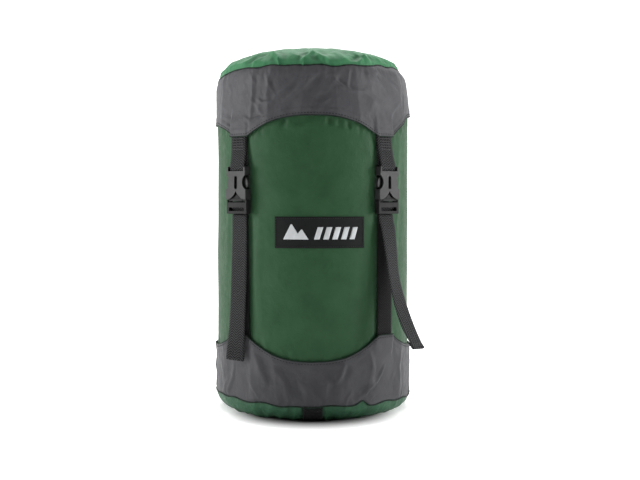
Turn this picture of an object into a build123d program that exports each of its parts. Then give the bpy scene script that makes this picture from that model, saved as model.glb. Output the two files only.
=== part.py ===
"""Compression sack: a round fabric sack under a floating lid, pulled together by four webbing straps.

Each strap has a side-release buckle. Its socket hangs from a tab of the lid on a loop of webbing. Its plug
holds the lower strap in a ladder lock, and the strap's free tail hangs from there.

Frame: +Z up, origin at the middle of the base, front towards -Y. Millimetres.
"""

import os
from math import cos, radians, sin, sqrt

from build123d import *

# Sack
SACK_R = 105.0  # outside of the fabric tube
FABRIC = 1.2  # thickness of the fabric shells
BASE_R = 88.0  # flat part of the base
BASE_T = 2.4  # base panel, which is doubled
SEAM_Z = 14.0  # base seam
SLEEVE_TOP = 352.0
RIM_Z = 363.0  # seam round the top of the lid

# Grey end caps: the lid's skirt and the band round the base
CAP_GAP = 0.4  # between the sleeve and a cap
CAP_T = 1.0
CAP_IN = SACK_R + CAP_GAP
CAP_OUT = CAP_IN + CAP_T
ARCH_HALF = 66.5  # half the width of the arch between two tabs
SKIRT_TAB_Z, SKIRT_ARCH = 292.0, 20.0  # lowest edge of the skirt's tabs, and the arch's rise
BAND_TAB_Z, BAND_ARCH = 86.0, 24.0  # highest edge of the band's tabs, and the arch's fall
PIPING_R = 1.2

# Mouth of the sack, under the lid
MOUTH_RISE = 22.0
HEM_R, HEM_Z = 44.3, 371.0  # ring that the cord tunnel follows
HEM_OUT, HEM_BORE = 4.2, 2.6
EYELET_OUT, EYELET_IN = 3.2, 1.8
EYELET_ANGLE = 8.0  # each side of the front

# Webbing
WEB_W, WEB_T = 20.0, 1.4
STRAP_OUT = CAP_OUT + 0.1 + WEB_T / 2  # middle of a strap that lies on a cap
STRAP_HIGH = 106.4  # middle of a strap where it lies on the sleeve
STRAP_FOOT_Z = 70.0  # end of the lower strap, sewn to the band
STRAP_TOP_Z = 214.5  # where the lower strap enters the ladder lock
STRAP_HEAD_Z = 306.0  # ends of the upper loop, sewn to the skirt
HEM_LENGTH, HEM_T = 9.0, 2.8  # folded end of a tail

# Woven label on the front
LABEL_Z = (177.0, 209.0)
LABEL_FROM, LABEL_TO = -21.5, 30.0  # degrees from the front
LABEL_R = (SACK_R + 0.1, SACK_R + 0.9)

# Buckle: radii run outwards from the sack's axis, heights from the floor
BUCKLE_W = 28.0
EDGE = 0.7  # rounding of the moulded edges
SOCKET_R = (106.2, 114.4)
SOCKET_Z = (226.5, 260.6)
SOCKET_TOP_W = 25.6
CAVITY_W = 24.4
CAVITY_R = (107.8, 112.6)
CAVITY_TOP = 251.4
WEB_SLOT_W = WEB_W + 1.2
SLOT_Z = 252.8  # lower edge of the socket's webbing slot
FRONT_WALL_TOP = 255.8  # the wall in front of the slot hides the loop's turn
LOOP_BAR = (109.3, 258.4)  # radius and height of the bar that the loop goes round
LOOP_BAR_R = 1.4
WINDOW_AT, WINDOW_Z = 15.0, 244.5  # ellipse that opens each side for a prong's head
WINDOW_A, WINDOW_B = 6.2, 7.7
NOTCH_TOP, NOTCH_HALF = 235.4, 11.0
PLUG_R = (106.4, 113.2)
PLUG_Z = (211.7, 226.2)
CROSS_Z = 224.9  # underside of the plug's cross-member
LADDER_BAR = (108.7, 221.3)
LADDER_BAR_R = 1.5
LIP_R, LIP_Z = 109.3, 214.5  # inner face and top of the outer lip
LEDGE_R, LEDGE_Z = 112.0, (218.4, 223.4)  # inner face and height of the ledge before the strap's turn
NOSE_R = (111.8, 112.7)  # triangular nose, set back in the socket's notch
NOSE_GAP = 1.6
GUIDE_W, GUIDE_TOP = 3.0, 249.0
INSIDE_R = (108.1, 112.3)  # what of the plug goes inside the socket
PRONG_AT, PRONG_Z = 9.2, 228.6  # living hinge at the foot of each prong
PRONG_R = (108.6, 111.6)
PRONG_FOOT = 1.5
SEAT_GAP = 0.1
TAIL_ROOT = (108.2, 210.6)  # where the tail leaves the ladder lock

# The way each strap faces, in degrees from the front, and how far it lies to its right of there: the straps
# sit in the corners, turned a little towards the front and the back
CORNERS = {
    "front_right": (38.5, 11.0),
    "back_right": (141.5, -11.0),
    "back_left": (218.5, 11.0),
    "front_left": (321.5, -11.0),
}
FLARED = ("front_right", "back_left")  # tails that stand away from the sack


os.makedirs("parts", exist_ok=True)


def outwards(angle):
    """Unit vector away from the axis, at an angle from the front."""
    return Vector(sin(radians(angle)), -cos(radians(angle)), 0)


def face_plane(angle, out):
    """Plane that faces outwards at that radius. Its x runs round the sack, and its y up."""
    n = outwards(angle)
    return Plane(origin=n * out, x_dir=Vector(0, 0, 1).cross(n), z_dir=n)


def section_plane(angle):
    """Upright plane through the axis. Its x runs outwards, and its y up."""
    n = outwards(angle)
    return Plane(origin=(0, 0, 0), x_dir=n, z_dir=n.cross(Vector(0, 0, 1)))


def save(part, name):
    part.label = name
    export_step(part, f"parts/{name}.step")


def plate(angle, radii, width, heights, mode=Mode.ADD, at=0.0):
    """Adds a flat block between two radii to the part that is being built."""
    with BuildSketch(face_plane(angle, radii[0]), mode=Mode.PRIVATE) as outline:
        with Locations((at, sum(heights) / 2)):
            Rectangle(width, heights[1] - heights[0])
    extrude(outline.sketch, amount=radii[1] - radii[0], mode=mode)


def cross_bar(angle, place, radius, length):
    """Adds a round bar that runs round the sack, at a radius and height."""
    with BuildSketch(section_plane(angle), mode=Mode.PRIVATE) as outline:
        with Locations(place):
            Circle(radius)
    extrude(outline.sketch, amount=length / 2, both=True)


def cap_shell(z_from, z_to, tab_z, arch):
    """Cap ring with an arch cut between each two tabs, half an ellipse in the front view."""
    with BuildPart() as shell:
        with BuildSketch(Plane.XY.offset(z_from)):
            Circle(CAP_OUT)
            Circle(CAP_IN, mode=Mode.SUBTRACT)
        extrude(amount=z_to - z_from)
        for side in range(4):
            with BuildSketch(face_plane(90 * side, 0), mode=Mode.PRIVATE) as cut:
                with Locations((0, tab_z)):
                    Ellipse(ARCH_HALF, arch)
            extrude(cut.sketch, amount=2 * SACK_R, mode=Mode.SUBTRACT)
    return shell


def seam_piping(z):
    """Half-round bead of binding on the outside of a cap's seam."""
    with BuildPart() as bead:
        with BuildSketch(Plane.XZ):
            with Locations((CAP_OUT, z)):
                Circle(PIPING_R)
            with Locations((CAP_OUT - PIPING_R, z)):
                Rectangle(2 * PIPING_R, 2 * PIPING_R, mode=Mode.SUBTRACT)
        revolve(axis=Axis.Z)
    return bead


# Base: the panel's edge is an arc from the flat up to the seam
edge_rise = (CAP_OUT - BASE_R) ** 2
edge_r = (edge_rise + SEAM_Z**2) / (2 * SEAM_Z)  # arc that is level at the flat's edge


def base_layer(depth, thickness):
    """Revolved layer of the base panel, that thick, whose outside is depth below the panel's own."""
    outer, inner = edge_r - depth, edge_r - depth - thickness
    drop = edge_r - SEAM_Z
    angle = radians(35)
    ends = [BASE_R + sqrt(r**2 - drop**2) for r in (outer, inner)]
    middles = [(BASE_R + r * sin(angle), edge_r - r * cos(angle)) for r in (outer, inner)]
    with BuildPart() as layer:
        with BuildSketch(Plane.XZ):
            with BuildLine():
                Line((0, depth), (BASE_R, depth))
                ThreePointArc((BASE_R, depth), middles[0], (ends[0], SEAM_Z))
                Line((ends[0], SEAM_Z), (ends[1], SEAM_Z))
                ThreePointArc((ends[1], SEAM_Z), middles[1], (BASE_R, depth + thickness))
                Line((BASE_R, depth + thickness), (0, depth + thickness))
                Line((0, depth + thickness), (0, depth))
            make_face()
        revolve(axis=Axis.Z)
    return layer


groove = base_layer(0, WEB_T + 0.1)
with BuildPart() as handle_room:
    add(groove.part)
    Box(WEB_W + 0.4, 3 * SACK_R, 3 * SEAM_Z, mode=Mode.INTERSECT)

bottom_panel = base_layer(0, BASE_T)
with BuildPart() as bottom_panel_cut:
    add(bottom_panel.part)
    add(handle_room.part, mode=Mode.SUBTRACT)
save(bottom_panel_cut.part, "bottom_panel")

# Grab handle: one strip of webbing under the base, sewn in at the front and the back
with BuildPart() as bottom_handle:
    add(base_layer(0, WEB_T).part)
    Box(WEB_W, 3 * SACK_R, 3 * SEAM_Z, mode=Mode.INTERSECT)
save(bottom_handle.part, "bottom_handle")

with BuildPart() as sleeve:
    with BuildSketch(Plane.XY.offset(SEAM_Z)):
        Circle(SACK_R)
        Circle(SACK_R - FABRIC, mode=Mode.SUBTRACT)
    extrude(amount=SLEEVE_TOP - SEAM_Z)
save(sleeve.part, "sleeve")

save(cap_shell(SEAM_Z, BAND_TAB_Z, BAND_TAB_Z, BAND_ARCH).part, "bottom_band")
save(seam_piping(SEAM_Z).part, "bottom_piping")

# Label: a patch bent round the front of the sleeve
with BuildPart() as label:
    with BuildSketch(Plane.XY.offset(LABEL_Z[0])):
        Circle(LABEL_R[1])
        Circle(LABEL_R[0], mode=Mode.SUBTRACT)
        with BuildLine():
            far = 2 * SACK_R
            left, right = outwards(LABEL_FROM) * far, outwards(LABEL_TO) * far
            Polyline((0, 0), (left.X, left.Y), (right.X, right.Y), (0, 0))
        make_face(mode=Mode.INTERSECT)
    extrude(amount=LABEL_Z[1] - LABEL_Z[0])
save(label.part, "label")

# Mouth: the gathered top of the sack, its cord tunnel and the eyelets that the cord leaves by
with BuildPart() as mouth_collar:
    with BuildSketch(Plane.XZ):
        with Locations((0, SLEEVE_TOP)):
            Ellipse(SACK_R, MOUTH_RISE)
            Ellipse(SACK_R - FABRIC, MOUTH_RISE - FABRIC, mode=Mode.SUBTRACT)
        with Locations(((HEM_R + SACK_R) / 2, SLEEVE_TOP + MOUTH_RISE / 2)):
            Rectangle(SACK_R - HEM_R, MOUTH_RISE, mode=Mode.INTERSECT)
        with Locations((HEM_R, HEM_Z)):
            Circle(HEM_OUT, mode=Mode.SUBTRACT)
    revolve(axis=Axis.Z)
save(mouth_collar.part, "mouth_collar")

eyelet_spots = [
    outwards(side * EYELET_ANGLE) * HEM_R + Vector(0, 0, HEM_Z + HEM_OUT) for side in (-1, 1)
]
with BuildPart() as mouth_hem:
    with BuildSketch(Plane.XZ):
        with Locations((HEM_R, HEM_Z)):
            Circle(HEM_OUT)
            Circle(HEM_BORE, mode=Mode.SUBTRACT)
    revolve(axis=Axis.Z)
    with Locations(*eyelet_spots):
        Cylinder(EYELET_IN, 2 * (HEM_OUT - HEM_BORE) + 1, mode=Mode.SUBTRACT)
save(mouth_hem.part, "mouth_hem")

for spot, side in zip(eyelet_spots, ("left", "right")):
    with BuildPart() as mouth_eyelet:
        with Locations(spot):
            Cylinder(EYELET_OUT, 2.4)
            Cylinder(EYELET_IN, 3, mode=Mode.SUBTRACT)
        with BuildSketch(Plane.XZ, mode=Mode.PRIVATE) as tunnel:
            with Locations((HEM_R, HEM_Z)):
                Circle(HEM_OUT)
        revolve(tunnel.sketch, axis=Axis.Z, mode=Mode.SUBTRACT)
    save(mouth_eyelet.part, f"mouth_eyelet_{side}")

# Lid: the crown's section, from the middle out to the seam
CROWN = [(0, 27), (30, 26.5), (55, 24.4), (78, 19.8), (95, 12.9)]

with BuildPart() as lid_panel:
    with BuildSketch(Plane.XZ):
        with BuildLine():
            ends = [CAP_OUT, CAP_OUT - FABRIC]
            lines = []
            for end, inset in zip(ends, (0, FABRIC)):
                scale = (CAP_OUT - inset) / CAP_OUT
                points = [(r * scale, RIM_Z + rise - inset) for r, rise in CROWN]
                lines.append(Spline(*points, (end, RIM_Z), tangents=((1, 0), (0.1, -1))))
            Line(lines[0] @ 0, lines[1] @ 0)
            Line(lines[0] @ 1, lines[1] @ 1)
        make_face()
    revolve(axis=Axis.Z)
save(lid_panel.part, "lid_panel")

save(cap_shell(SKIRT_TAB_Z, RIM_Z, SKIRT_TAB_Z, SKIRT_ARCH).part, "lid_skirt")
save(seam_piping(RIM_Z).part, "lid_piping")


def web_strip(angle, points, tangents=None):
    """Strip of webbing along a smooth line of (radius, height) points."""
    with BuildPart() as strip:
        with BuildSketch(section_plane(angle)):
            with BuildLine():
                Spline(*points, tangents=tangents)
            trace(line_width=WEB_T)
        extrude(amount=WEB_W / 2, both=True)
    return strip


def lower_strap(angle):
    """Loaded run of a strap, from the band's tab up to the ladder lock."""
    foot, top = (STRAP_OUT, STRAP_FOOT_Z), (STRAP_HIGH, STRAP_TOP_Z)
    bends = [(STRAP_OUT, BAND_TAB_Z + 3), (STRAP_HIGH, BAND_TAB_Z + 40)]
    return web_strip(angle, [foot, *bends, top], ((0, 1), (0, 1)))


def strap_turn(angle):
    """The strap's way through the ladder lock: up behind it, over its bar and down behind its lip."""
    bar_r, bar_z = LADDER_BAR
    points = [
        (STRAP_HIGH, STRAP_TOP_Z),
        (STRAP_HIGH - 0.1, STRAP_TOP_Z + 4),
        (bar_r - 2.5, bar_z + 0.3),
        (bar_r, bar_z + 2.5),
        (bar_r + 2.5, bar_z + 0.3),
        (bar_r + 1.8, bar_z - 2.8),
        (bar_r + 0.3, bar_z - 5.2),
        (TAIL_ROOT[0], bar_z - 7.6),
        (TAIL_ROOT[0], TAIL_ROOT[1] + 0.8),
    ]
    return web_strip(angle, points, ((0, 1), (0, -1)))


def strap_tail(angle, flared):
    """Free end of a strap, with a folded hem. Its root is round, so that it can swing from the lock."""
    r, z = TAIL_ROOT
    if flared:
        route = [(6.5, 25.6), (12.5, 50), (16.5, 68), (23.5, 89), (34.5, 110), (47, 131), (50.5, 136)]
    else:
        route = [(0.3, 60), (1, 100), (1.8, 125), (4.6, 151)]
    points = [(r, z)] + [(r + out, z - down) for out, down in route]
    with BuildPart() as tail:
        with BuildSketch(section_plane(angle)):
            with BuildLine() as line:
                Spline(*points)
            trace(line_width=WEB_T)
            with Locations((r, z)):
                Circle(WEB_T / 2)
            whole = line.edges()[0]
            with BuildLine():
                Line(whole.position_at(1 - HEM_LENGTH / whole.length), whole.position_at(1))
            trace(line_width=HEM_T)
        extrude(amount=WEB_W / 2, both=True)
    return tail


def upper_loop(angle):
    """Loop of webbing sewn to the skirt's tab, two plies that part to go round the socket's bar."""
    bar_r, bar_z = LOOP_BAR
    part_z = SKIRT_TAB_Z - 8
    turn = (bar_r, bar_z - 2.6)
    with BuildPart() as loop:
        with BuildSketch(section_plane(angle)):
            for ply, wrap in ((STRAP_OUT, -2.4), (STRAP_OUT + WEB_T, 2.4)):
                with BuildLine():
                    Line((ply, STRAP_HEAD_Z), (ply, part_z))
                    Spline(
                        (ply, part_z),
                        (bar_r + 0.8 * wrap, bar_z + 6),
                        (bar_r + wrap, bar_z - 0.2),
                        turn,
                        tangents=((0, -1), (-wrap, 0)),
                    )
                trace(line_width=WEB_T)
        extrude(amount=WEB_W / 2, both=True)
    return loop


def notch_face(angle, radius, shrink):
    """Flared triangle of the socket's notch, or of the nose that fills it, shrink mm smaller all round."""
    half = NOTCH_HALF
    foot = SOCKET_Z[0]
    with BuildSketch(face_plane(angle, radius), mode=Mode.PRIVATE) as outline:
        with BuildLine():
            ThreePointArc((0, NOTCH_TOP), (3.4, foot + 4.2), (half, foot))
            Line((half, foot), (-half, foot))
            ThreePointArc((-half, foot), (-3.4, foot + 4.2), (0, NOTCH_TOP))
        make_face()
        if shrink:
            offset(amount=-shrink)
    return outline.sketch


def rounded_block(angle, outline, radii):
    """Extrudes an outline between two radii and rounds all its edges."""
    plane = face_plane(angle, radii[0])
    with BuildSketch(plane, mode=Mode.PRIVATE) as face:
        with BuildLine():
            Polyline(*outline, outline[0])
        make_face()
    extrude(face.sketch, amount=radii[1] - radii[0])


def buckle_socket(angle):
    low, high = SOCKET_Z
    half, top = BUCKLE_W / 2, SOCKET_TOP_W / 2
    waist = WINDOW_Z - 8
    outline = [(-half, low), (half, low), (half, waist), (top, high), (-top, high), (-half, waist)]
    with BuildPart() as socket:
        rounded_block(angle, outline, SOCKET_R)
        fillet(socket.edges(), EDGE)
        plate(angle, CAVITY_R, CAVITY_W, (SOCKET_Z[0], CAVITY_TOP), Mode.SUBTRACT)
        plate(angle, (SOCKET_R[0], CAVITY_R[1]), WEB_SLOT_W, (SLOT_Z, SOCKET_Z[1]), Mode.SUBTRACT)
        plate(angle, (CAVITY_R[1], SOCKET_R[1]), WEB_SLOT_W, (FRONT_WALL_TOP, SOCKET_Z[1]), Mode.SUBTRACT)
        for side in (-1, 1):
            with BuildSketch(face_plane(angle, SOCKET_R[0]), mode=Mode.PRIVATE) as window:
                with Locations((side * WINDOW_AT, WINDOW_Z)):
                    Ellipse(WINDOW_A, WINDOW_B)
            extrude(window.sketch, amount=SOCKET_R[1] - SOCKET_R[0], mode=Mode.SUBTRACT)
        notch = notch_face(angle, SOCKET_R[0], 0)
        extrude(notch, amount=SOCKET_R[1] - SOCKET_R[0], mode=Mode.SUBTRACT)
        with BuildSketch(face_plane(angle, CAVITY_R[1]), mode=Mode.PRIVATE) as slit:
            with Locations((0, 244.0)):
                SlotOverall(13.6, 4.0, rotation=90)
        extrude(slit.sketch, amount=SOCKET_R[1] - CAVITY_R[1], mode=Mode.SUBTRACT)
        cross_bar(angle, LOOP_BAR, LOOP_BAR_R, WEB_SLOT_W + 1)
    return socket


def buckle_plug(angle):
    low, high = PLUG_Z
    half = BUCKLE_W / 2
    depth = (PLUG_R[0], PLUG_R[1])
    with BuildPart() as plug:
        rounded_block(angle, [(-half, low), (half, low), (half, high), (-half, high)], depth)
        fillet(plug.edges(), EDGE)
        plate(angle, depth, WEB_SLOT_W, (LIP_Z, LEDGE_Z[0]), Mode.SUBTRACT)
        plate(angle, (PLUG_R[0], LEDGE_R), WEB_SLOT_W, (LEDGE_Z[0], CROSS_Z), Mode.SUBTRACT)
        plate(angle, (LEDGE_R, PLUG_R[1]), BUCKLE_W - 4, (LEDGE_Z[1], high), Mode.SUBTRACT)
        plate(angle, (PLUG_R[0], LIP_R), WEB_SLOT_W, (low, CROSS_Z), Mode.SUBTRACT)
        plate(angle, INSIDE_R, CAVITY_W - 0.8, (CROSS_Z, PRONG_Z))
        plate(angle, INSIDE_R, GUIDE_W, (CROSS_Z, GUIDE_TOP))
        extrude(notch_face(angle, NOSE_R[0], NOSE_GAP), amount=NOSE_R[1] - NOSE_R[0])
        plate(angle, NOSE_R, 2 * NOTCH_HALF - 6, (CROSS_Z, high + 1.2))
        cross_bar(angle, LADDER_BAR, LADDER_BAR_R, WEB_SLOT_W + 1)
        for side in (-1, 1):
            with BuildSketch(face_plane(angle, INSIDE_R[0]), mode=Mode.PRIVATE) as seat:
                with Locations((side * PRONG_AT, PRONG_Z)):
                    Circle(PRONG_FOOT + SEAT_GAP)
            extrude(seat.sketch, amount=PRONG_R[1] + SEAT_GAP - INSIDE_R[0], mode=Mode.SUBTRACT)
    return plug


def prong(angle, side):
    """Springy arm of the plug, with the head that latches in the socket's window."""
    x, z = PRONG_AT, PRONG_Z
    head = [(x + 2.2, z + 10.7), (x + 4.6, z + 10.8), (x + 4.9, z + 13)]
    tip = [(x + 2.2, z + 21.4), (x + 1, z + 22), (x, z + 21.6), (x - 1, z + 18)]
    with BuildPart() as arm:
        with BuildSketch(face_plane(angle, PRONG_R[0])):
            with Locations((x, z)):
                Circle(PRONG_FOOT)
            with BuildLine():
                Polyline((x - 1.3, z), (x + 1.3, z), *head)
                Spline(head[-1], (x + 4.4, z + 17.5), tip[0])
                Polyline(*tip, (x - 0.6, z + 10.7), (x - 1.3, z))
            make_face()
            if side < 0:
                mirror(about=Plane.YZ, mode=Mode.REPLACE)
        extrude(amount=PRONG_R[1] - PRONG_R[0])
    return arm


for corner, (angle, aside) in CORNERS.items():
    place = Location(face_plane(angle, 0).x_dir * aside)
    fittings = {
        "lower_strap": lower_strap(angle),
        "strap_turn": strap_turn(angle),
        "strap_tail": strap_tail(angle, corner in FLARED),
        "upper_loop": upper_loop(angle),
        "buckle_socket": buckle_socket(angle),
        "buckle_plug": buckle_plug(angle),
        "left_prong": prong(angle, -1),
        "right_prong": prong(angle, 1),
    }
    for kind, piece in fittings.items():
        save(piece.part.moved(place), f"{kind}_{corner}")
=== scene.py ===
"""Looks of the compression sack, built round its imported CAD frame. Lengths are in millimetres until a mesh is made."""

from math import cos, pi, radians, sin

import bpy
import numpy as np
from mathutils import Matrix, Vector


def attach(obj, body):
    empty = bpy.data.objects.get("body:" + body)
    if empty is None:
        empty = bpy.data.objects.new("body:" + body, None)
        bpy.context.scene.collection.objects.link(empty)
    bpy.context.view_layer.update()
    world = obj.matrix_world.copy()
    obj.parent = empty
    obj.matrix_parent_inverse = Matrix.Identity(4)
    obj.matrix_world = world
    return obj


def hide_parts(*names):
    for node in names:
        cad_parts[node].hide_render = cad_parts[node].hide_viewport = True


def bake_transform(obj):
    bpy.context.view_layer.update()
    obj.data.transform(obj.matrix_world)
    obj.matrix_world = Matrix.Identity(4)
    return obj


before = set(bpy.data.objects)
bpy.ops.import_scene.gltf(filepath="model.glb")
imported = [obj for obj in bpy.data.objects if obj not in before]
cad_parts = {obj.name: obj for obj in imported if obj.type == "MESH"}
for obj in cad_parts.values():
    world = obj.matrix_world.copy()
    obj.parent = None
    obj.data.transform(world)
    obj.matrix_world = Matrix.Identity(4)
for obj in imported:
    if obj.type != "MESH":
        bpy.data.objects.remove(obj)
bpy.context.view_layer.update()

MM = 0.001
SACK_R = 105.0
CAP_R = 106.4  # outside of the skirt and the band
FABRIC = 1.0
BASE_R = 88.0
SEAM_Z, RIM_Z = 15.0, 363.0
SLEEVE_TOP = 352.0
SKIRT_TAB_Z, SKIRT_ARCH = 292.0, 20.0
BAND_TAB_Z, BAND_ARCH = 86.0, 24.0
ARCH_HALF = 66.5
HEM = 8.0  # folded hem along the scalloped edges
UPPER_FACE, LOWER_FACE = 106.7, 106.4  # outer faces of the straps where they go under the tabs
WEB_W, WEB_T = 20.0, 1.4
CORNERS = {
    # the way each strap faces, in degrees from the front, how far it lies to its right of there, and how much
    # further its upper loop does at the tab and its lower strap at the band
    "front_right": (38.5, 11.0, -0.4, 0.0),
    "back_right": (141.5, -11.0, -1.0, 1.4),
    "back_left": (218.5, 11.0, 1.2, -1.8),
    "front_left": (321.5, -11.0, -3.2, 2.6),
}
COLS = 600


# ---------------------------------------------------------------- materials


class Nodes:
    """Short way to write a material's nodes."""

    def __init__(self, name):
        self.material = bpy.data.materials.new(name)
        self.material.use_nodes = True
        self.tree = self.material.node_tree
        self.shader = self.tree.nodes["Principled BSDF"]

    def put(self, kind, *inputs, **settings):
        node = self.tree.nodes.new(kind)
        for key, value in settings.items():
            setattr(node, key, value)
        for socket, value in zip(node.inputs, inputs):
            if isinstance(value, bpy.types.NodeSocket):
                self.tree.links.new(value, socket)
            elif value is not None:
                socket.default_value = value
        return node

    def math(self, operation, *inputs, clamp=False):
        return self.put("ShaderNodeMath", *inputs, operation=operation, use_clamp=clamp).outputs[0]

    def attribute(self, name):
        return self.put("ShaderNodeAttribute", attribute_name=name)

    def noise(self, scale, detail=3.0, roughness=0.55, vector=None):
        node = self.put("ShaderNodeTexNoise")
        node.inputs["Scale"].default_value = scale
        node.inputs["Detail"].default_value = detail
        node.inputs["Roughness"].default_value = roughness
        if vector is not None:
            self.tree.links.new(vector, node.inputs["Vector"])
        return node.outputs["Fac"]

    def remap(self, value, low, high, to_low, to_high):
        node = self.put("ShaderNodeMapRange", value, low, high, to_low, to_high)
        return node.outputs["Result"]

    def mix(self, factor, first, second):
        node = self.put("ShaderNodeMix", data_type="RGBA")
        for socket, value in ((node.inputs[0], factor), (node.inputs[6], first), (node.inputs[7], second)):
            if isinstance(value, bpy.types.NodeSocket):
                self.tree.links.new(value, socket)
            else:
                socket.default_value = value
        return node.outputs[2]

    def bump(self, height, distance, strength=1.0, normal=None):
        node = self.put("ShaderNodeBump")
        node.inputs["Strength"].default_value = strength
        node.inputs["Distance"].default_value = distance
        self.tree.links.new(height, node.inputs["Height"])
        if normal is not None:
            self.tree.links.new(normal, node.inputs["Normal"])
        return node.outputs["Normal"]

    def finish(self, color, roughness, normal=None, **fixed):
        for name, value in (("Base Color", color), ("Roughness", roughness), ("Normal", normal)):
            if isinstance(value, bpy.types.NodeSocket):
                self.tree.links.new(value, self.shader.inputs[name])
            elif value is not None:
                self.shader.inputs[name].default_value = value
        for name, value in fixed.items():
            self.shader.inputs[name.replace("_", " ")].default_value = value
        return self.material


def rgba(r, g, b):
    return (r, g, b, 1.0)


def position(n):
    return n.put("ShaderNodeTexCoord").outputs["Object"]


def nylon(name, dark, light, weave=1.6, creased=1.0, specular=0.12):
    """Coated nylon: fine plain weave, faint mottling and soft creases too small to model. Painted shade darkens it
    where the third value of the 'lay' attribute is high: in creases and along hem edges.
    """
    n = Nodes(name)
    place = position(n)
    lay = n.put("ShaderNodeSeparateXYZ", n.attribute("lay").outputs["Vector"])
    mottle = n.noise(38.0, 4.0, 0.6, place)
    color = n.mix(n.remap(mottle, 0.3, 0.7, 0.0, 1.0), dark, light)
    warp = n.math("SINE", n.math("MULTIPLY", lay.outputs[0], 2 * pi / weave))
    weft = n.math("SINE", n.math("MULTIPLY", lay.outputs[1], 2 * pi / weave))
    threads = n.math("MULTIPLY", warp, weft)
    # painted shade: where the lay's third value is high, the colour is mixed up to 45% towards a third of its dark
    # tone
    edge = n.remap(lay.outputs[2], 0.0, 1.0, 1.0, 0.55)
    color = n.mix(n.math("SUBTRACT", 1.0, edge), color, rgba(dark[0] * 0.3, dark[1] * 0.3, dark[2] * 0.3))
    soft = n.noise(26.0, 5.0, 0.62, place)
    fine = n.noise(150.0, 3.0, 0.5, place)
    rough = n.remap(fine, 0.3, 0.7, 0.47, 0.60)
    normal = n.bump(soft, 0.004 * creased, 0.5)
    normal = n.bump(fine, 0.0006, 0.45, normal)
    normal = n.bump(threads, 0.00008, 0.5, normal)
    return n.finish(color, rough, normal, Specular_IOR_Level=specular)


def webbing_material(name, tone_of_ribs):
    """Polyester webbing in a herringbone: slanted ribs that change side along the strap."""
    n = Nodes(name)
    lay = n.put("ShaderNodeSeparateXYZ", n.attribute("lay").outputs["Vector"])
    across = n.math("PINGPONG", n.math("ADD", lay.outputs[0], 10.0), 5.0)
    slanted = n.math("ADD", lay.outputs[1], n.math("MULTIPLY", across, 0.85))
    rib = n.math("PINGPONG", slanted, 1.3)
    rib = n.remap(rib, 0.35, 0.95, 0.0, 1.0)
    speck = n.noise(900.0, 2.0, 0.5, position(n))
    tone = n.math("MULTIPLY", rib, n.remap(speck, 0.3, 0.7, 0.55, 1.0))
    color = n.mix(tone, rgba(0.0035, 0.0035, 0.004), rgba(*[tone_of_ribs * k for k in (0.98, 1.0, 1.04)]))
    normal = n.bump(rib, 0.0004, 0.9)
    normal = n.bump(speck, 0.0002, 0.5, normal)
    return n.finish(color, 0.75, normal, Specular_IOR_Level=0.16)


def plain_material(name, color, roughness, grain, depth, painted_shade_reach=0.0, **fixed):
    """Colour with a fine grain: moulded plastic, thread or tape. Given a reach, an ambient-occlusion node paints shade
    into it, darkening hollows narrower than that.
    """
    n = Nodes(name)
    place = position(n)
    speck = n.noise(grain, 3.0, 0.6, place)
    wear = n.noise(60.0, 4.0, 0.6, place)
    dim = rgba(color[0] * 0.78, color[1] * 0.78, color[2] * 0.78)
    tone = n.mix(n.remap(wear, 0.3, 0.7, 0.0, 1.0), dim, color)
    if painted_shade_reach:
        # painted shade: near black where the ambient occlusion is low
        open_sky = n.put("ShaderNodeAmbientOcclusion", None, painted_shade_reach, samples=8).outputs["AO"]
        tone = n.mix(n.remap(open_sky, 0.45, 0.95, 0.0, 1.0), rgba(0.001, 0.001, 0.001), tone)
    rough = n.remap(wear, 0.3, 0.7, roughness - 0.05, roughness + 0.07)
    return n.finish(tone, rough, n.bump(speck, depth, 0.5), **fixed)


GREEN = nylon("green_nylon", rgba(0.0176, 0.0560, 0.0240), rgba(0.0236, 0.070, 0.0300), specular=0.13)
GREEN_BASE = nylon("green_nylon_base", rgba(0.019, 0.068, 0.034), rgba(0.029, 0.094, 0.047), creased=2.0, specular=0.2)
# lighter copy of the green nylon: painted light on the top panel, which catches the overhead light
GREEN_TOP_PAINTED_LIGHT = nylon("green_nylon_panel_painted_light", rgba(0.040, 0.152, 0.070), rgba(0.056, 0.190, 0.090), specular=0.1)
LINING = nylon("green_lining", rgba(0.022, 0.078, 0.036), rgba(0.030, 0.098, 0.046), creased=1.5)
GREY_BAND = nylon("grey_nylon_band", rgba(0.037, 0.037, 0.041), rgba(0.049, 0.049, 0.054), specular=0.2)
GREY = nylon("grey_nylon", rgba(0.046, 0.046, 0.051), rgba(0.058, 0.058, 0.064), specular=0.22)
WEBBING = webbing_material("black_webbing", 0.054)
# darker copy of the webbing: painted shade for the lower straps and the base handle
SHADED_WEBBING = webbing_material("black_webbing_painted_shade", 0.009)
BINDING = plain_material("binding_tape", rgba(0.006, 0.016, 0.010), 0.7, 500, 0.0003, Specular_IOR_Level=0.2)
TACKS = plain_material("tack_thread", rgba(0.05, 0.05, 0.053), 0.6, 900, 0.0002, Specular_IOR_Level=0.25)
THREAD = plain_material("dark_thread", rgba(0.014, 0.014, 0.016), 0.6, 900, 0.0002, Specular_IOR_Level=0.2)
# both acetals get painted shade in hollows narrower than 4 mm
PLASTIC = plain_material("moulded_acetal", rgba(0.026, 0.026, 0.0265), 0.46, 420, 0.00012, 0.004, Specular_IOR_Level=0.24)
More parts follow.
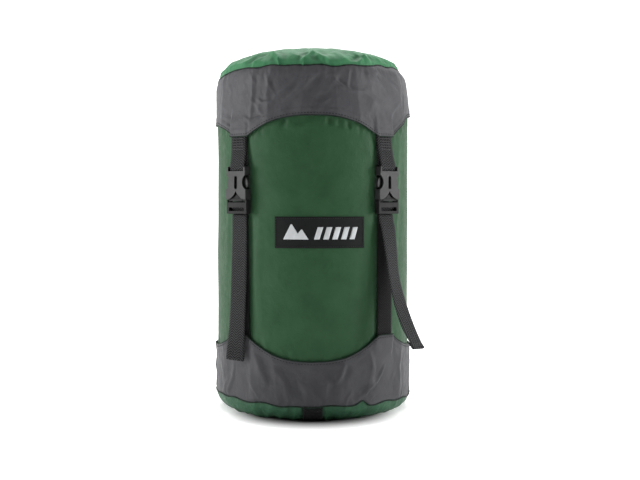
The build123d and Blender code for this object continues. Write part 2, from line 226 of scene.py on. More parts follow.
# darker copy of the acetal: painted shade on the plug, whose nose sits back in the socket's notch
PLUG_PLASTIC_PAINTED_SHADE = plain_material("moulded_acetal_plug_painted_shade", rgba(0.013, 0.013, 0.0135), 0.5, 420, 0.00012, 0.004, Specular_IOR_Level=0.12)
METAL = plain_material("black_eyelet", rgba(0.02, 0.02, 0.02), 0.3, 300, 0.0001, Metallic=0.9)
PATCH = plain_material("label_weave", rgba(0.006, 0.007, 0.007), 0.75, 700, 0.0003, Specular_IOR_Level=0.18)
MOTIF = plain_material("label_motif", rgba(0.52, 0.54, 0.55), 0.7, 700, 0.0004)


# ---------------------------------------------------------------- meshes


def make_mesh(name, points, faces, material, lay=None, smooth=True):
    mesh = bpy.data.meshes.new(name)
    mesh.from_pydata((np.asarray(points, float) * MM).tolist(), [], [list(f) for f in faces])
    mesh.validate()
    if lay is not None:
        layer = mesh.attributes.new("lay", "FLOAT_VECTOR", "POINT")
        layer.data.foreach_set("vector", np.asarray(lay, np.float32).ravel())
    mesh.materials.append(material)
    mesh.polygons.foreach_set("use_smooth", [smooth] * len(mesh.polygons))
    mesh.update()
    piece = bpy.data.objects.new(name, mesh)
    bpy.context.scene.collection.objects.link(piece)
    return piece


def outwards(angle):
    a = radians(angle)
    return np.array([sin(a), -cos(a), 0.0])


def around(angle):
    a = radians(angle)
    return np.array([cos(a), sin(a), 0.0])


def round_grid(r, phi, z):
    return np.stack([r * np.sin(phi), -r * np.cos(phi), z], axis=-1)


def normals_of(grid):
    """Normals of a grid that closes on itself along its columns."""
    along = np.roll(grid, -1, 1) - np.roll(grid, 1, 1)
    up = np.gradient(grid, axis=0)
    n = np.cross(along, up)
    return n / np.maximum(np.linalg.norm(n, axis=-1, keepdims=True), 1e-9)


def grid_faces(rows, cols, start, flip=False):
    i, j = np.meshgrid(np.arange(rows - 1), np.arange(cols), indexing="ij")
    k = (j + 1) % cols
    quad = [i * cols + j, i * cols + k, (i + 1) * cols + k, (i + 1) * cols + j]
    faces = np.stack(quad, -1).reshape(-1, 4) + start
    return faces[:, ::-1] if flip else faces


def cloth_shell(name, outer, lay, thickness, material):
    """Closed sheet of that thickness inside a grid whose columns go round. Its two edges are rounded."""
    rows, cols = outer.shape[:2]
    n = normals_of(outer)
    inner = outer - n * thickness
    low = (outer[0] + inner[0]) / 2 - (outer[1] - outer[0]) * 0.35
    high = (outer[-1] + inner[-1]) / 2 + (outer[-1] - outer[-2]) * 0.35
    loop = np.concatenate([low[None], outer, high[None], inner[::-1]])
    lays = np.concatenate([lay[:1], lay, lay[-1:], lay[::-1]])
    count = loop.shape[0]
    faces = grid_faces(count, cols, 0)
    i = np.arange(cols)
    k = (i + 1) % cols
    last = (count - 1) * cols
    close = np.stack([last + i, last + k, k, i], -1)
    return make_mesh(name, loop.reshape(-1, 3), np.concatenate([faces, close]), material, lays.reshape(-1, 3))


def ring_faces(count, sides, closed):
    faces = []
    for i in range(count if closed else count - 1):
        a, b = i * sides, ((i + 1) % count) * sides
        for j in range(sides):
            k = (j + 1) % sides
            faces.append((a + j, a + k, b + k, b + j))
    return faces


def tube_round(name, path, radii, material, sides=10):
    """Closed tube along a closed path."""
    path = np.asarray(path)
    tangent = np.roll(path, -1, 0) - np.roll(path, 1, 0)
    tangent /= np.linalg.norm(tangent, axis=1, keepdims=True)
    side = np.cross(tangent, [0, 0, 1.0])
    side /= np.linalg.norm(side, axis=1, keepdims=True)
    up = np.cross(side, tangent)
    turn = np.arange(sides) * 2 * pi / sides
    ring = side[:, None] * np.cos(turn)[None, :, None] + up[:, None] * np.sin(turn)[None, :, None]
    points = path[:, None] + ring * np.broadcast_to(radii, len(path))[:, None, None]
    return make_mesh(name, points.reshape(-1, 3), ring_faces(len(path), sides, True), material)


def smooth_path(points, step=1.5):
    """Evenly spaced points on a Catmull-Rom curve through points."""
    p = np.asarray(points, float)
    p = np.concatenate([[2 * p[0] - p[1]], p, [2 * p[-1] - p[-2]]])
    out = []
    for a, b, c, d in zip(p, p[1:], p[2:], p[3:]):
        t = np.linspace(0, 1, 24, endpoint=False)[:, None]
        out.append(
            0.5 * (2 * b + (c - a) * t + (2 * a - 5 * b + 4 * c - d) * t**2 + (3 * b - a - 3 * c + d) * t**3)
        )
    out = np.concatenate(out + [p[-2:-1]])
    far = np.concatenate([[0], np.cumsum(np.linalg.norm(np.diff(out, axis=0), axis=1))])
    count = max(3, int(round(far[-1] / step)) + 1)
    at = np.linspace(0, far[-1], count)
    return np.stack([np.interp(at, far, out[:, i]) for i in range(out.shape[1])], -1), at


def web_outline():
    """Section of the webbing: flat faces, with soft rounded selvedges."""
    half, t = WEB_W / 2, WEB_T / 2
    across = np.linspace(-1, 1, 15)
    edge = 1 - np.abs(across) ** 10
    top = np.stack([across * half, t * (0.35 + 0.65 * edge)], -1)
    bottom = np.stack([across[::-1] * half, -t * (0.35 + 0.65 * edge[::-1])], -1)
    return np.concatenate([top, bottom])


def ribbon(name, path, at, wide, material, start=0.0):
    """Webbing along path. wide holds the direction of its width at each point."""
    path, wide = np.asarray(path), np.asarray(wide)
    tangent = np.gradient(path, axis=0)
    tangent /= np.linalg.norm(tangent, axis=1, keepdims=True)
    wide = wide - tangent * np.sum(wide * tangent, axis=1, keepdims=True)
    wide /= np.linalg.norm(wide, axis=1, keepdims=True)
    normal = np.cross(tangent, wide)
    outline = web_outline()
    points = (
        path[:, None]
        + wide[:, None] * outline[None, :, :1]
        + normal[:, None] * outline[None, :, 1:]
    )
    lay = np.zeros(points.shape)
    lay[..., 0] = outline[None, :, 0]
    lay[..., 1] = (np.asarray(at) + start)[:, None]
    sides = len(outline)
    faces = [f[::-1] for f in ring_faces(len(path), sides, False)]
    faces.append(tuple(range(sides)))
    faces.append(tuple((len(path) - 1) * sides + j for j in reversed(range(sides))))
    return make_mesh(name, points.reshape(-1, 3), faces, material, lay.reshape(-1, 3))


def stitches(name, starts, ends, normals, material, width=0.34):
    """Row of separate stitches, each a flattened bead from start to end that lies on the cloth."""
    starts, ends, normals = (np.asarray(x, float) for x in (starts, ends, normals))
    along = ends - starts
    length = np.linalg.norm(along, axis=1, keepdims=True)
    along = along / length
    side = np.cross(normals, along)
    side /= np.linalg.norm(side, axis=1, keepdims=True)
    points, faces = [], []
    stations = [(0.0, 0.25, -0.15), (0.18, 0.9, 0.16), (0.5, 1.0, 0.30), (0.82, 0.9, 0.16), (1.0, 0.25, -0.15)]
    turn = np.arange(6) * pi / 3
    for far, size, lift in stations:
        middle = starts + along * length * far + normals * lift
        for a in turn:
            points.append(middle + side * (width * size * cos(a)) + normals * (width * size * 0.8 * sin(a)))
    count = len(starts)
    points = np.stack(points, 1).reshape(-1, 3)
    per = 6 * len(stations)
    ring = ring_faces(len(stations), 6, False)
    ring += [tuple(reversed(range(6))), tuple(range(per - 6, per))]
    for i in range(count):
        faces += [tuple(v + i * per for v in f) for f in ring]
    return make_mesh(name, points, faces, material)


def join(name, pieces):
    """One object of several that have the same material."""
    with bpy.context.temp_override(
        active_object=pieces[0], selected_editable_objects=pieces, selected_objects=pieces
    ):
        bpy.ops.object.join()
    pieces[0].name = name
    return pieces[0]


# ---------------------------------------------------------------- the cloth's relief


def waves(phi, z, seed, count, around_range, up_range):
    """Smooth random relief that closes on itself round the sack, about -1 to 1."""
    random = np.random.RandomState(seed)
    total = np.zeros(np.broadcast(phi, z).shape)
    for _ in range(count):
        turns = random.randint(around_range[0], around_range[1] + 1) * random.choice([-1, 1])
        climb = random.uniform(*up_range)
        total += np.sin(turns * phi + climb * z + random.uniform(0, 2 * pi))
    return total / np.sqrt(count)


def turn_to(phi, angle):
    """Angle from a given azimuth, in degrees, from -180 to 180."""
    return (np.degrees(phi) - angle + 180) % 360 - 180


def fold(phi, z, line, width, height, valley=0.6, radius=SACK_R):
    """Fold along a line of (degrees, z) points, which dies away at its ends, with a hollow at its side."""
    points = [(radians(a) * radius, b) for a, b in line]
    middle = sum(p[0] for p in points) / len(points)
    s = (phi * radius - middle + pi * radius) % (2 * pi * radius) - pi * radius + middle
    best = np.full(s.shape, 1e9)
    side = np.zeros(s.shape)
    far = np.zeros(s.shape)
    total = sum(np.hypot(b[0] - a[0], b[1] - a[1]) for a, b in zip(points, points[1:]))
    done = 0.0
    for a, b in zip(points, points[1:]):
        dx, dz = b[0] - a[0], b[1] - a[1]
        length = np.hypot(dx, dz)
        t = np.clip(((s - a[0]) * dx + (z - a[1]) * dz) / length**2, 0, 1)
        ox, oz = s - a[0] - t * dx, z - a[1] - t * dz
        distance = np.hypot(ox, oz)
        nearer = distance < best
        best = np.where(nearer, distance, best)
        side = np.where(nearer, (dx * oz - dz * ox) / length, side)
        far = np.where(nearer, (done + t * length) / total, far)
        done += length
    ends = np.sin(np.clip(far, 0, 1) * pi) ** 0.6
    signed = np.sign(side) * best
    ridge = np.exp(-((best / width) ** 1.6))
    hollow = np.exp(-(((signed - 1.9 * width) / (1.5 * width)) ** 2))
    return height * ends * (ridge - valley * hollow)


def random_folds(phi, z, seed, count, low, high, height, width=(1.2, 3.0), lean=25, length=(12, 32)):
    """Small folds that start at one edge of a cap and run into it, more and less slanted."""
    random = np.random.RandomState(seed)
    total = np.zeros(phi.shape)
    for _ in range(count):
        angle = random.uniform(0, 360)
        reach = random.uniform(*length)
        slant = random.uniform(-lean, lean)
        foot = low if random.rand() < 0.5 else high
        up = 1 if foot == low else -1
        end = (angle + slant * reach / 40, foot + up * reach)
        bend = ((angle + end[0]) / 2 + random.uniform(-1.5, 1.5), (foot + end[1]) / 2)
        total += fold(
            phi, z, [(angle, foot - up * 4), bend, end],
            random.uniform(*width), random.uniform(0.4, 1.0) * height,
        )
    return total


def strap_side(phi, facing, aside, out):
    """Where the strap plane out mm from the axis is met at each azimuth: how far round from the strap's
    middle, and at what radius."""
    turn = np.clip(np.radians(turn_to(phi, facing)), -1.2, 1.2)
    return out * np.tan(turn) - aside, out / np.cos(turn)


def crumple(phi, z, seed, around_range, up_range):
    """Relief of creased cloth: soft hollows between sharp ridges, about -1 to 0.6."""
    return 0.6 - np.abs(waves(phi, z, seed, 9, around_range, up_range))


def shoulder(phi):
    """How much the lid's shoulder is rounded over: fully on the right side, not at all on the left."""
    turn = np.abs(turn_to(phi, 85))
    share = np.clip((68 - turn) / 36.0, 0, 1)
    return share**2 * (3 - 2 * share)


def shoulder_drop(phi, z):
    rise = np.clip((z - 325) / 43.0, 0, 1)
    return shoulder(phi) * (4.3 * rise + 5.2 * rise**6)


def filling(phi, z):
    """How far what is packed inside pushes the cloth out or lets it in."""
    push = 0.45 * waves(phi, z, 3, 16, (1, 7), (0.004, 0.03)) + 0.18 * waves(phi, z, 5, 20, (4, 18), (0.02, 0.1))
    for facing, aside, _, _ in CORNERS.values():
        u, _ = strap_side(phi, facing, aside, SACK_R)
        push = push - 1.8 * np.exp(-((u / 12.5) ** 4))
    return np.clip(push, -2.5, 0.35)


def facets(phi, z, lines, low, high):
    """Flattens stiff cloth between corner lines. Each line is its azimuth at the height low and at high."""
    share = np.clip((z - low) / (high - low), -0.2, 1.2)
    dip = np.zeros(phi.shape)
    for (a0, a1), (b0, b1) in zip(lines, lines[1:] + [(lines[0][0] + 360, lines[0][1] + 360)]):
        start, stop = a0 + (a1 - a0) * share, b0 + (b1 - b0) * share
        half = (stop - start) / 2
        t = turn_to(phi, (start + stop) / 2) / half
        sag = np.minimum(CAP_R * (1 - np.cos(np.radians(half))), 2.2)
        dip = dip + np.where(np.abs(t) <= 1, -sag * (1 - t**2), 0)
    return dip


def arch(phi, tab, rise):
    """Height of a scalloped edge: flat at the four tabs, with an arch between them."""
    across = np.abs((np.degrees(phi) + 45) % 90 - 45)
    share = np.minimum(SACK_R * np.sin(np.radians(across)) / ARCH_HALF, 1.0)
    return tab + rise * (1 - share**2.7)


def skirt_edge_at(phi):
    """Height of the skirt's edge. The arch on the left comes lower and the one on the right goes higher."""
    left, right = turn_to(phi, -90) / 27, turn_to(phi, 90) / 27
    return arch(phi, SKIRT_TAB_Z, SKIRT_ARCH) + 6.5 * np.exp(-(right**4)) - 3.5 * np.exp(-(left**4))


def band_edge_at(phi):
    """Height of the band's edge. Its arches at the two sides are the shallow ones."""
    side = (np.abs(turn_to(phi, 0)) - 90) / 27
    return arch(phi, BAND_TAB_Z, -BAND_ARCH) + 6.0 * np.exp(-(side**4))


def over_straps(out, phi, z, edge, reach, face, end):
    """Relief of a cap, lifted where it goes over the straps sewn under its tabs. Their faces are face mm out,
    and end is 0 at the straps' upper ends and 1 at their lower ones."""
    near = 1 / (1 + np.exp((np.abs(z - edge) - reach) / 3.0))
    for facing, aside, *strays in CORNERS.values():
        u, radius = strap_side(phi, facing, aside + strays[end], face + FABRIC + 0.25)
        inside = near / (1 + np.exp((np.abs(u) - 12.8) / 0.8))
        out = out + (np.maximum(radius - CAP_R, out) - out) * inside
    return out


# ---------------------------------------------------------------- sleeve, band and base

PHI = np.arange(COLS) * 2 * pi / COLS


def sheet_lay(phi, z, edge=None):
    lay = np.zeros(phi.shape + (3,))
    lay[..., 0] = phi * SACK_R
    lay[..., 1] = z
    # third value: painted shade, 0 to 1, in creases and along the hem's edge
    if edge is not None:
        lay[..., 2] = edge
    return lay


SLEEVE_FOLDS = [
    ([(-30, 90), (-33, 150), (-31, 215)], 5.0, 0.8),
    ([(24, 300), (33, 285), (35, 240)], 4.5, 0.7),
    ([(-20, 306), (-10, 300), (4, 303)], 3.0, 0.5),
    ([(8, 304), (16, 298), (26, 296)], 2.5, 0.45),
    ([(62, 300), (60, 240), (57, 170)], 4.5, 0.7),
    ([(-62, 285), (-58, 220), (-60, 150)], 4.5, 0.7),
    ([(30, 70), (33, 110), (32, 160)], 4.0, 0.5),
    ([(100, 90), (112, 160), (118, 260)], 6.0, 0.8),
    ([(160, 80), (172, 150), (168, 230)], 6.0, 0.9),
    ([(200, 120), (208, 200), (202, 290)], 5.0, 0.8),
    ([(255, 90), (262, 170), (258, 240)], 5.0, 0.8),
]


def sleeve_relief(phi, z):
    out = filling(phi, z)
    for line, width, height in SLEEVE_FOLDS:
        out = out + fold(phi, z, line, width, height, 0.5)
    gather = waves(phi, z, 14, 26, (14, 70), (0.0, 0.12))
    skirt_edge, band_edge = skirt_edge_at(phi), band_edge_at(phi)
    for edge, depth in ((skirt_edge - 4, 0.8), (band_edge + 3, 0.45)):
        out = out + depth * gather * np.exp(-(((z - edge) / 6.0) ** 2))
    covered = np.clip(np.maximum(z - skirt_edge, band_edge - z) / 5.0, 0, 1)
    out = np.clip(out, -2.4, 0.38) * (1 - covered) + np.clip(out - 0.6, -2.4, -0.6) * covered
    return out - shoulder_drop(phi, z)


def build_sleeve():
    heights = np.linspace(SEAM_Z, SLEEVE_TOP, 190)
    z, phi = np.meshgrid(heights, PHI, indexing="ij")
    grid = round_grid(SACK_R + sleeve_relief(phi, z), phi, z)
    return cloth_shell("sleeve_cloth", grid, sheet_lay(phi, z), FABRIC, GREEN)


BAND_FOLDS = [
    ([(18, 60), (16, 50), (12.5, 38)], 2.4, 1.7),
    ([(47, 58), (38.5, 38), (26, 24)], 3.2, 3.0),
    ([(54, 44), (44, 31), (31, 18)], 1.9, 2.0),
    ([(62, 68), (58, 50), (60, 30)], 3.2, 1.3),
    ([(33, 70), (36, 52), (34, 34)], 3.4, 1.0),
    ([(-36, 76), (-31, 55), (-26, 34)], 4.5, 1.6),
    ([(-50, 60), (-52, 40), (-58, 22)], 3.5, 1.4),
    ([(-8, 44), (-3, 32), (2, 20)], 3.5, 1.0),
    ([(-22, 56), (-15, 38), (-13, 20)], 4.0, 1.2),
    ([(3, 52), (8, 40), (6, 24)], 3.0, 0.9),
    ([(120, 70), (112, 48), (102, 28)], 3.0, 1.5),
    ([(178, 52), (186, 36), (190, 22)], 3.0, 1.4),
    ([(236, 70), (246, 50), (250, 28)], 3.0, 1.5),
    ([(276, 54), (268, 38), (262, 22)], 2.5, 1.3),
]
BAND_CORNERS = [
    # azimuth of each bend in the stiff cloth at the seam and at the tabs
    (-172, -176), (-141, -147), (-118, -112), (-88, -92), (-60, -64), (-34, -40), (-19, -24), (-3, -1),
    (14, 19), (29, 40), (58, 62), (84, 80), (104, 110), (131, 126), (158, 163),
]


def base_seam(phi):
    """Height of the base seam, which wanders and is pinched up at one place."""
    z = SEAM_Z + 1.6 - 1.8 * np.sin(phi) + 0.9 * waves(phi, 0 * phi, 11, 14, (3, 22), (0, 0))
    for angle, rise, width in ((28.7, 4.6, 3.2), (152, 3.0, 4.0), (262, 2.6, 3.5), (-52, 1.2, 5.0)):
        z = z + rise * np.exp(-((turn_to(phi, angle) / width) ** 2))
    return z


def band_relief(phi, z):
    out = filling(phi, z) * 0.4 + 1.2 + 0.8 * facets(phi, z, BAND_CORNERS, SEAM_Z, BAND_TAB_Z)
    for line, width, height in BAND_FOLDS:
        out = out + fold(phi, z, line, width, height)
    out = out + random_folds(phi, z, 21, 22, SEAM_Z, 60, 0.8)
    near_seam = np.exp(-(z - base_seam(phi)) / 9.0)
    out = out + 0.7 * near_seam * crumple(phi, z, 23, (16, 60), (0.02, 0.2))
    out = out + 0.3 * crumple(phi, z, 24, (8, 30), (0.02, 0.12))
    return np.clip(out, -0.4, 3.5) * np.clip((z - base_seam(phi)) / 4.0, 0.2, 1)


def hollows(out):
    """How deep each place lies under its surroundings, 0 to 1, for the shade painted into the cloth's creases."""
    around_it = sum(np.roll(out, k, 1) for k in (-10, -6, -3, 3, 6, 10)) / 6
    return np.clip((around_it - out) * 0.55, 0, 0.8)


def cap_grid(rows, edge, seam, relief, edge_first):
    """Grid of a cap between its seam and its scalloped edge, bottom row first, and its lay, which carries painted
    shade in the creases and along the edge.
    """
    share = np.linspace(0, 1, rows)[:, None]
    low, high = (edge, seam) if edge_first else (seam, edge)
    z = low + (high - low) * share
    phi = np.broadcast_to(PHI, z.shape)
    from_edge = np.abs(z - edge)
    out = relief(phi, z)
    hem = 0.45 / (1 + np.exp((from_edge - HEM) / 0.5))
    roll = 0.35 * np.exp(-((from_edge / 1.4) ** 2))
    grid = round_grid(CAP_R + out + hem + roll, phi, z)
    # painted shade: darker in the creases, in a line along the scalloped edge and faintly where the hem ends
    painted_shade = hollows(out) + 0.8 * np.exp(-((from_edge / 1.5) ** 2)) + 0.15 * np.exp(-(((from_edge - HEM) / 0.7) ** 2))
    return grid, sheet_lay(phi, z, np.clip(painted_shade, 0, 1))


def build_band():
    edge = band_edge_at(PHI)

    def relief(phi, z):
        return over_straps(band_relief(phi, z), phi, z, edge, 19, LOWER_FACE, 1)

    grid, lay = cap_grid(64, edge, base_seam(PHI), relief, False)
    return cloth_shell("bottom_band_cloth", grid, lay, FABRIC, GREY_BAND), grid


def base_relief(phi, r):
    """Lumps and creases of the base panel between its seam and the floor."""
    share = np.clip((r - BASE_R + 6) / 14.0, 0, 1)
    lumps = 1.0 * waves(phi, r, 31, 14, (7, 20), (0.05, 0.25)) + 3.6 * crumple(phi, r, 32, (8, 26), (0.05, 0.3))
    return lumps * share * (1.2 - share)


HANDLE_ROOM = 1.55  # how far the base's cloth goes in over the handle


def build_base(seam_ring):
    """Base panel: flat on the floor, then up in a soft curve to the seam."""
    flat = np.linspace(0.5, BASE_R - 2, 26)
    rise = np.linspace(0, 1, 22)[1:]
    rows, crease_shade = [], [np.zeros(COLS)] * len(flat)
    for r in flat:
        under = HANDLE_ROOM / (1 + np.exp((np.abs(r * np.sin(PHI)) - WEB_W / 2 - 1) / 0.3))
        rows.append(round_grid(np.full(COLS, r), PHI, 0.06 + under))
    seam_r = np.hypot(seam_ring[:, 0], seam_ring[:, 1]) - 0.5
    seam_z = seam_ring[:, 2]
    for t in rise:
        r = BASE_R - 2 + (seam_r - BASE_R + 2) * np.sin(t * pi / 2)
        z = seam_z * (1 - np.cos(t * pi / 2))
        over = 1 / (1 + np.exp((np.abs(r * np.sin(PHI)) - WEB_W / 2 - 1) / 0.3))
        bulge = base_relief(PHI, r) * (1 - over) - HANDLE_ROOM * over
        # painted shade in the base panel's creases
        crease_shade.append(np.clip(hollows(bulge[None])[0] * 1.7, 0, 1))
        nx, nz = np.sin(t * pi / 2), -np.cos(t * pi / 2)
        r2 = r + bulge * nx
        z2 = np.maximum(z + bulge * nz, 0.06)
        rows.append(round_grid(r2, PHI, z2))
    grid = np.stack(rows)
    phi = np.broadcast_to(PHI, grid.shape[:2])
    lay = sheet_lay(phi, np.linspace(0, 120, len(rows))[:, None] + 0 * phi, np.stack(crease_shade))
    return grid, lay


def disc_shell(name, grid, lay, thickness, material):
    """Closed sheet that covers a disc: grid rows go from the middle out, thickness goes up."""
    n = normals_of(grid)
    n = np.where(n[..., 2:3] > 0, -n, n) if grid[-1, 0, 2] > grid[0, 0, 2] else np.where(n[..., 2:3] < 0, -n, n)
    inner = grid - n * thickness
    rim = (grid[-1] + inner[-1]) / 2 + (grid[-1] - grid[-2]) * 0.3
    loop = np.concatenate([grid, rim[None], inner[::-1]])
    lays = np.concatenate([lay, lay[-1:], lay[::-1]])
    cols = grid.shape[1]
    faces = grid_faces(loop.shape[0], cols, 0).tolist()
    last = (loop.shape[0] - 1) * cols
    faces.append(list(range(cols)))
    faces.append([last + j for j in reversed(range(cols))])
    piece = make_mesh(name, loop.reshape(-1, 3), faces, material, lays.reshape(-1, 3))
    mesh = piece.data
    import bmesh

    bm = bmesh.new()
    bm.from_mesh(mesh)
    bmesh.ops.recalc_face_normals(bm, faces=bm.faces)
    bm.to_mesh(mesh)
    bm.free()
    return piece


sleeve = build_sleeve()
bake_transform(sleeve)
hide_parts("sleeve")

band, band_grid = build_band()
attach(band, "sack")
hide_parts("bottom_band")

base_grid, base_lay = build_base(band_grid[0])
base = disc_shell("bottom_panel_cloth", base_grid, base_lay, 1.2, GREEN_BASE)
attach(base, "sack")
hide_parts("bottom_panel")

seam_path = band_grid[0] + (band_grid[0] * [1, 1, 0]) / SACK_R * 0.2
wobble = 0.65 + 0.22 * np.abs(waves(PHI, 0 * PHI, 41, 20, (20, 90), (0, 0)))
base_piping = tube_round("bottom_binding", seam_path, wobble, BINDING)
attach(base_piping, "sack")
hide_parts("bottom_piping")


# ---------------------------------------------------------------- lid

SKIRT_FOLDS = [
    ([(-35, 362), (-35.5, 335), (-38, 302)], 2.6, 0.9),
    ([(-40, 352), (-46, 330), (-50, 310)], 4.5, 0.7),
    ([(-24, 362), (-25, 345), (-27, 326)], 2.4, 0.7),
    ([(5, 360), (-4, 344), (-17, 326)], 3.0, 1.0),
    ([(-8, 352), (-16, 338), (-27, 322)], 2.6, 0.8),
    ([(11, 349), (14, 346), (18, 339)], 1.3, 1.0),
    ([(12, 345), (22, 338), (32, 336)], 2.4, 0.8),
    ([(31, 358), (42, 348), (52, 330)], 2.2, 1.3),
    ([(38, 361), (50, 353), (62, 340)], 1.8, 1.1),
    ([(28, 340), (38, 326), (44, 308)], 3.6, 0.9),
    ([(60, 330), (52, 318), (48, 302)], 2.8, 1.0),
    ([(-68, 318), (-56, 311), (-44, 309)], 2.6, 0.9),
    ([(-64, 308), (-55, 303), (-49, 301)], 2.4, 0.7),
    ([(-44, 314), (-37, 308), (-30, 312)], 1.3, 1.1),
    ([(-33, 331), (-29, 326), (-22, 327)], 1.3, 0.9),
    ([(-58, 354), (-54, 340), (-56, 322)], 3.2, 0.9),
    ([(72, 350), (66, 330), (68, 306)], 2.8, 1.0),
    ([(100, 360), (108, 340), (122, 312)], 3.0, 1.4),
    ([(150, 358), (142, 336), (138, 308)], 3.0, 1.4),
    ([(188, 360), (180, 344), (170, 326)], 3.0, 1.2),
    ([(232, 356), (226, 334), (222, 308)], 3.0, 1.4),
    ([(262, 358), (256, 342), (244, 318)], 2.6, 1.2),
]
SKIRT_CORNERS = [
    # azimuth of each bend in the stiff cloth at the tabs and at the seam
    (-174, -178), (-146, -151), (-121, -115), (-92, -88), (-66, -62), (-38, -35), (-27, -24), (-9, -2),
    (14, 12), (28, 24), (46, 38), (64, 60), (86, 92), (113, 108), (137, 143), (161, 158),
]


def rim_seam(phi):
    left = np.exp(-((turn_to(phi, -92) / 30) ** 2))
    return RIM_Z + 4.5 * shoulder(phi) - 8.0 * left + 0.8 * waves(phi, 0 * phi, 12, 16, (3, 26), (0, 0))


def skirt_relief(phi, z):
    out = filling(phi, z) * 0.4 + 1.1 + 0.8 * facets(phi, z, SKIRT_CORNERS, SKIRT_TAB_Z, RIM_Z)
    for line, width, height in SKIRT_FOLDS:
        out = out + fold(phi, z, line, width, height)
    out = out + random_folds(phi, z, 22, 24, 312, RIM_Z, 0.6)
    seam = rim_seam(phi)
    out = out + 0.8 * crumple(phi, z, 25, (14, 50), (0.02, 0.2)) * np.exp(-np.abs(seam - z) / 8.0)
    out = out + 0.3 * crumple(phi, z, 26, (6, 26), (0.02, 0.12))
    tuck = np.clip((z - seam + 9) / 9.0, 0, 1) ** 2
    return np.clip(out, -0.4, 3.0) * (1 - 0.6 * tuck) - 1.9 * tuck - shoulder_drop(phi, z)


def build_skirt():
    edge = skirt_edge_at(PHI)

    def relief(phi, z):
        return over_straps(skirt_relief(phi, z), phi, z, edge, 19.5, UPPER_FACE, 0)

    grid, lay = cap_grid(72, edge, rim_seam(PHI), relief, True)
    return cloth_shell("lid_skirt_cloth", grid, lay, FABRIC, GREY), grid


CROWN_FOLDS = [
    # degrees, radius of the outer end, radius of the inner end, slant in degrees, width, height
    (-58, 105, 88, -14, 3.2, 0.7), (-36, 104, 86, 11, 3.2, 2.4), (-19, 104, 87, -13, 3.0, 2.7),
    (-6, 104, 89, 9, 2.4, 2.2), (7, 104, 87, -12, 3.2, 2.4), (27, 104, 88, 15, 2.6, 2.8),
    (39, 105, 90, -10, 2.4, 2.0), (57, 105, 88, 12, 3.0, 1.8),
]


CROWN_RISE = 27.2


def crown(r):
    """Height of the lid's crown over its seam, at a radius."""
    share = np.clip(r / 105.0, 0, 1)
    return CROWN_RISE * np.sqrt(np.maximum(1 - share**2.6, 0))


def crown_fold(phi, r, angle, outer, inner, slant, width, height):
    x, y = r * np.sin(phi), -r * np.cos(phi)
    a, b = outwards(angle)[:2] * outer, outwards(angle + slant)[:2] * inner
    dx, dy = b - a
    length = np.hypot(dx, dy)
    t = np.clip(((x - a[0]) * dx + (y - a[1]) * dy) / length**2, 0, 1)
    ox, oy = x - a[0] - t * dx, y - a[1] - t * dy
    distance = np.hypot(ox, oy)
    side = (dx * oy - dy * ox) / length
    ends = np.sqrt(np.clip(1 - t, 0, 1))
    ridge = np.exp(-((distance / width) ** 1.6))
    hollow = np.exp(-(((side - 2.0 * width) / (1.6 * width)) ** 2)) * np.exp(-((distance / (4 * width)) ** 2))
    return height * ends * (ridge - 0.8 * hollow)


def build_crown(seam_ring):
    rows, cols = 84, COLS
    share = np.concatenate([np.linspace(0.004, 0.8, 44), np.linspace(0.8, 1, rows - 43)[1:]])[:, None]
    seam_r = np.hypot(seam_ring[:, 0], seam_ring[:, 1]) - 0.4
    r = share * seam_r[None]
    phi = np.broadcast_to(PHI, r.shape)
    lift = seam_ring[:, 2][None] - RIM_Z
    z = RIM_Z + np.where(lift > 0, lift * share**6, lift * share**2.2) + crown(share * 105.0)
    away = 0.6 * waves(phi, r, 51, 14, (1, 5), (0.02, 0.09)) + 0.25 * waves(phi, r, 52, 20, (5, 16), (0.06, 0.25))
    puffy = np.clip((r - 72) / 20.0, 0, 1) ** 2
    away = away + puffy * (2.0 * crumple(phi, r, 54, (6, 17), (0.05, 0.2)) + 0.4 * crumple(phi, r, 55, (18, 40), (0.1, 0.4)))
    away = away * np.clip((r - 3) / 30, 0, 1)
    random = np.random.RandomState(53)
    folds = list(CROWN_FOLDS)
    for _ in range(26):
        folds.append(
            (random.uniform(76, 296), 105, random.uniform(82, 97), random.uniform(-16, 16), random.uniform(1.6, 2.8),
             random.uniform(0.6, 1.6))
        )
    for entry in folds:
        away = away + crown_fold(phi, r, *entry)
    fade = np.clip((1 - share) / 0.02, 0, 1)
    slope = np.gradient(crown(share[:, 0] * 105.0), share[:, 0] * 105.0)[:, None]
    slope = np.clip(slope, -2.5, 0)
    size = np.sqrt(1 + slope**2)
    away = away * fade
    grid = round_grid(r + away * (-slope / size), phi, z + away / size)
    # painted shade in the crown's creases
    lay = sheet_lay(phi, share * 105.0 + 0 * phi, np.clip(hollows(away) * 1.3, 0, 1))
    lay[..., 0] = grid[..., 0]
    lay[..., 1] = grid[..., 1]
    return grid, lay


skirt, skirt_grid = build_skirt()
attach(skirt, "lid")
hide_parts("lid_skirt")

crown_grid, crown_lay = build_crown(skirt_grid[-1])
# the top panel takes the lighter copy of the green nylon: painted light
top = disc_shell("lid_panel_cloth", crown_grid, crown_lay, FABRIC, GREEN_TOP_PAINTED_LIGHT)
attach(top, "lid")
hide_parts("lid_panel")

rim_path = skirt_grid[-1] + (skirt_grid[-1] * [1, 1, 0]) / SACK_R * 0.2
rim_piping = tube_round("lid_binding", rim_path, wobble * 0.85, BINDING)
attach(rim_piping, "lid")
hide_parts("lid_piping")


# ---------------------------------------------------------------- base handle, collar and tunnel


